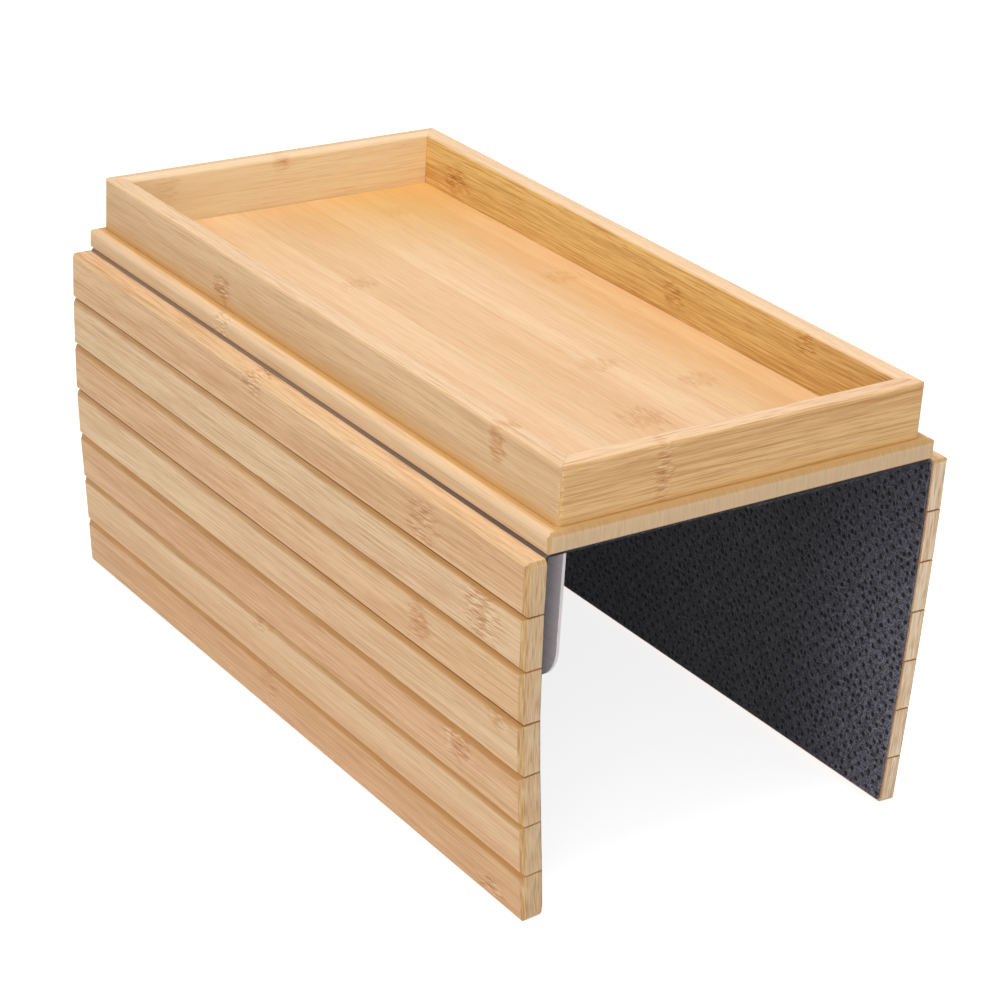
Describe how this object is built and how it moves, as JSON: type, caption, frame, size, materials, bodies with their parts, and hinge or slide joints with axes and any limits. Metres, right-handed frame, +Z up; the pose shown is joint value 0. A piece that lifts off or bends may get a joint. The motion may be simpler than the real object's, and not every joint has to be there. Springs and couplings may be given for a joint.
{
  "type": "sofa arm tray",
  "caption": "Bamboo serving tray with a raised rim whose felt-backed slatted flaps drape over both sides of a sofa arm.",
  "frame": {"origin": "centre of the underside of the felt below the tray, the face that lies on the sofa arm", "axes": "+X across the arm towards the right flap, +Y along the arm towards the back end, +Z up out of the tray"},
  "size_m": [0.234, 0.408, 0.2174],
  "materials": {
    "bamboo_board": "satin",
    "bamboo_rail": "satin",
    "bamboo_slat": "satin",
    "felt": "matte",
    "clip_steel": "satin",
    "screw_steel": "satin"
  },
  "bodies": {
    "tray": {"base_plank": "bamboo_board", "front_rail": "bamboo_rail", "back_rail": "bamboo_rail", "left_rail": "bamboo_rail", "right_rail": "bamboo_rail", "centre_felt": "felt", "left_clip": "clip_steel", "left_clip_screws": "screw_steel", "right_clip": "clip_steel", "right_clip_screws": "screw_steel"},
    "left_flap_1": {"left_slat_1": "bamboo_slat", "left_felt_1": "felt"},
    "left_flap_2": {"left_slat_2": "bamboo_slat", "left_felt_2": "felt"},
    "left_flap_3": {"left_slat_3": "bamboo_slat", "left_felt_3": "felt"},
    "left_flap_4": {"left_slat_4": "bamboo_slat", "left_felt_4": "felt"},
    "left_flap_5": {"left_slat_5": "bamboo_slat", "left_felt_5": "felt"},
    "left_flap_6": {"left_slat_6": "bamboo_slat", "left_felt_6": "felt"},
    "left_flap_7": {"left_slat_7": "bamboo_slat", "left_felt_7": "felt"},
    "right_flap_1": {"right_slat_1": "bamboo_slat", "right_felt_1": "felt"},
    "right_flap_2": {"right_slat_2": "bamboo_slat", "right_felt_2": "felt"},
    "right_flap_3": {"right_slat_3": "bamboo_slat", "right_felt_3": "felt"},
    "right_flap_4": {"right_slat_4": "bamboo_slat", "right_felt_4": "felt"},
    "right_flap_5": {"right_slat_5": "bamboo_slat", "right_felt_5": "felt"},
    "right_flap_6": {"right_slat_6": "bamboo_slat", "right_felt_6": "felt"},
    "right_flap_7": {"right_slat_7": "bamboo_slat", "right_felt_7": "felt"}
  },
  "joints": [
    {"name": "left_fold_1", "type": "hinge", "parent": "tray", "child": "left_flap_1", "pos_m": [-0.1065, 0, 0.0015], "axis": [0, -1, 0], "range_deg": [-90, 4]},
    {"name": "left_fold_2", "type": "hinge", "parent": "left_flap_1", "child": "left_flap_2", "pos_m": [-0.10482, 0, -0.02475], "axis": [0, -1, 0], "range_deg": [-1, 4]},
    {"name": "left_fold_3", "type": "hinge", "parent": "left_flap_2", "child": "left_flap_3", "pos_m": [-0.10402, 0, -0.05024], "axis": [0, -1, 0], "range_deg": [-1, 4]},
    {"name": "left_fold_4", "type": "hinge", "parent": "left_flap_3", "child": "left_flap_4", "pos_m": [-0.10304, 0, -0.07572], "axis": [0, -1, 0], "range_deg": [-1, 40]},
    {"name": "left_fold_5", "type": "hinge", "parent": "left_flap_4", "child": "left_flap_5", "pos_m": [-0.10109, 0, -0.10114], "axis": [0, -1, 0], "range_deg": [-1, 40]},
    {"name": "left_fold_6", "type": "hinge", "parent": "left_flap_5", "child": "left_flap_6", "pos_m": [-0.09869, 0, -0.12653], "axis": [0, -1, 0], "range_deg": [-1, 40]},
    {"name": "left_fold_7", "type": "hinge", "parent": "left_flap_6", "child": "left_flap_7", "pos_m": [-0.09629, 0, -0.15192], "axis": [0, -1, 0], "range_deg": [-1, 40]},
    {"name": "right_fold_1", "type": "hinge", "parent": "tray", "child": "right_flap_1", "pos_m": [0.1065, 0, 0.0015], "axis": [0, 1, 0], "range_deg": [-90, 4]},
    {"name": "right_fold_2", "type": "hinge", "parent": "right_flap_1", "child": "right_flap_2", "pos_m": [0.105, 0, -0.02475], "axis": [0, 1, 0], "range_deg": [-1, 4]},
    {"name": "right_fold_3", "type": "hinge", "parent": "right_flap_2", "child": "right_flap_3", "pos_m": [0.10451, 0, -0.05024], "axis": [0, 1, 0], "range_deg": [-1, 4]},
    {"name": "right_fold_4", "type": "hinge", "parent": "right_flap_3", "child": "right_flap_4", "pos_m": [0.10375, 0, -0.07573], "axis": [0, 1, 0], "range_deg": [-1, 40]},
    {"name": "right_fold_5", "type": "hinge", "parent": "right_flap_4", "child": "right_flap_5", "pos_m": [0.10278, 0, -0.10121], "axis": [0, 1, 0], "range_deg": [-1, 40]},
    {"name": "right_fold_6", "type": "hinge", "parent": "right_flap_5", "child": "right_flap_6", "pos_m": [0.10157, 0, -0.12669], "axis": [0, 1, 0], "range_deg": [-1, 40]},
    {"name": "right_fold_7", "type": "hinge", "parent": "right_flap_6", "child": "right_flap_7", "pos_m": [0.1002, 0, -0.15215], "axis": [0, 1, 0], "range_deg": [-1, 40]}
  ]
}
